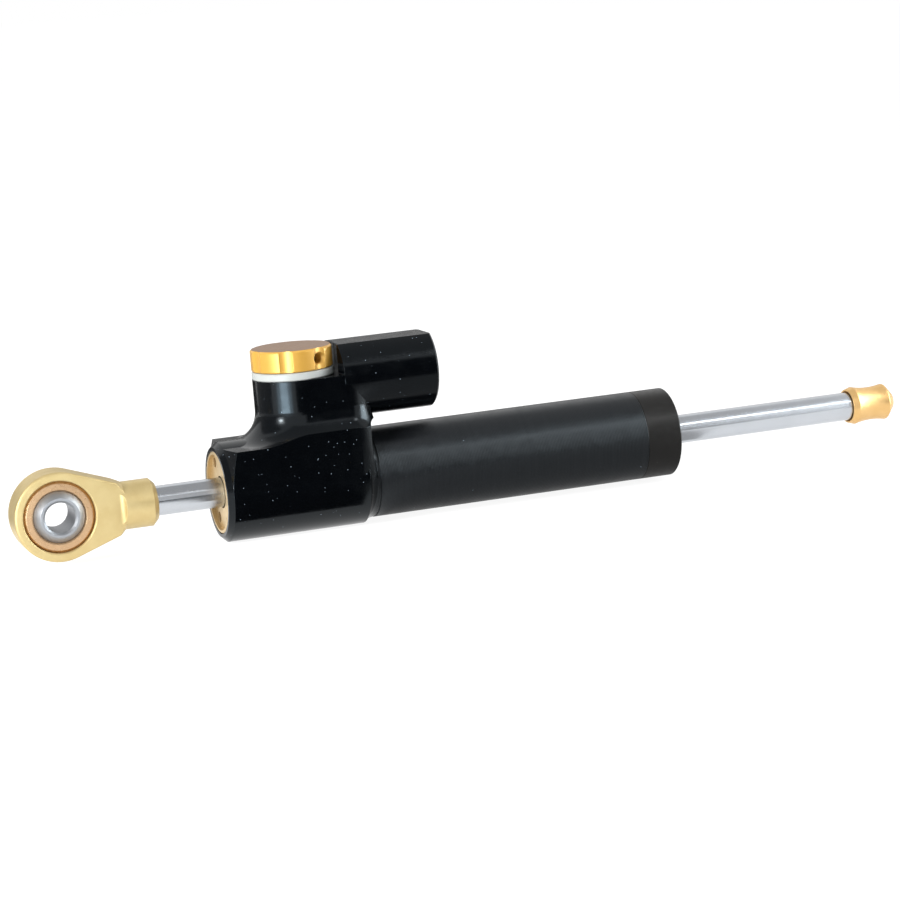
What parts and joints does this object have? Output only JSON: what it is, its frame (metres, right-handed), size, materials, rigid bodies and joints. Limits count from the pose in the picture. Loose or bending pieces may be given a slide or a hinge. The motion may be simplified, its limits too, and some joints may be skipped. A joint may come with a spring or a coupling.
{
  "type": "steering damper",
  "caption": "Motorcycle steering damper: through rod in a round cylinder, with a rod-end eye, a click adjuster knob on a tower and a cylindrical oil reservoir above.",
  "frame": {"origin": "on the rod's axis, in the middle of the stretch of tube that a clamp can use, between the reservoir's end and the seam of the end cap", "axes": "+X along the rod from the eye to the stop cap, +Z from the rod to the knob, the bolt through the eye along Y"},
  "size_m": [0.2565, 0.027, 0.0502],
  "materials": {
    "head_black": "gloss black anodised",
    "tube_black": "satin black anodised, fine turned rings",
    "cap_black": "smooth black anodised",
    "knob_gold": "bright gold anodised",
    "eye_gold": "satin pale gold anodised",
    "gland_gold": "satin pale gold anodised",
    "rod_chrome": "hard chrome, polished",
    "ball_steel": "ground and polished",
    "screw_steel": "dark oxide",
    "valve_steel": "machined",
    "bronze": "plain turned bronze",
    "valve_brass": "machined",
    "bare_aluminium": "machined",
    "ring_white": "off-white",
    "seal_rubber": "black",
    "seal_plastic": "blue",
    "band_plastic": "brown"
  },
  "bodies": {
    "cylinder": {"head_body": "head_black", "tube": "tube_black", "inner_sleeve": "bare_aluminium", "tube_end_cap": "cap_black", "gland": "gland_gold", "gland_o_ring": "seal_rubber", "end_cap_o_ring": "seal_rubber", "tube_o_ring": "seal_rubber", "wiper_left": "seal_plastic", "wiper_right": "seal_plastic", "rod_seal_left": "seal_rubber", "rod_seal_right": "seal_rubber", "guide_bush_left": "bronze", "guide_bush_right": "bronze", "indicator_ring": "ring_white", "click_plunger": "valve_brass", "valve_bush": "valve_brass", "valve_bush_o_ring": "seal_rubber", "needle_seat": "valve_brass", "reservoir_plug": "cap_black", "plug_o_ring": "seal_rubber", "fill_screw": "screw_steel"},
    "band": {"piston_band": "band_plastic"},
    "rod": {"rod": "rod_chrome", "piston": "bare_aluminium", "piston_circlips": "valve_steel", "piston_o_ring": "seal_rubber", "rod_eye": "eye_gold", "bearing_race": "bronze", "rod_stop_cap": "eye_gold"},
    "ball": {"bearing_ball": "ball_steel"},
    "knob": {"knob": "knob_gold", "knob_set_screw": "screw_steel", "adjuster_spindle": "valve_steel", "spindle_o_ring": "seal_rubber"},
    "needle": {"valve_needle": "valve_steel", "needle_o_ring": "seal_rubber"},
    "click_ball": {"click_ball": "ball_steel"},
    "separator": {"floating_piston": "bare_aluminium", "floating_piston_o_ring": "seal_rubber"}
  },
  "joints": [
    {"name": "rod_slide", "type": "slide", "parent": "cylinder", "child": "band", "axis": [1, 0, 0], "range_m": [-0.0567, 0.0167]},
    {"name": "rod_spin", "type": "hinge", "parent": "band", "child": "rod", "pos_m": [0, 0, 0], "axis": [1, 0, 0], "continuous": true},
    {"name": "ball_tilt", "type": "hinge", "parent": "rod", "child": "ball", "pos_m": [-0.13415, 0, 0], "axis": [0, 0, 1], "range_deg": [-13, 13]},
    {"name": "knob_turn", "type": "hinge", "parent": "cylinder", "child": "knob", "pos_m": [-0.067, 0, 0], "axis": [0, 0, 1], "range_deg": [-135, 135]},
    {"name": "needle_slide", "type": "slide", "parent": "knob", "child": "needle", "axis": [0, 0, 1], "range_m": [-0.000375, 0.000375]},
    {"name": "click_ball_lift", "type": "slide", "parent": "cylinder", "child": "click_ball", "axis": [0, 0, 1], "range_m": [0, 0.0003]},
    {"name": "separator_slide", "type": "slide", "parent": "cylinder", "child": "separator", "axis": [1, 0, 0], "range_m": [-0.0053, 0.0053]}
  ],
  "couplings": [
    {"joint": "needle_slide", "follows": "knob_turn", "m_per_rad": 0.00015915}
  ]
}
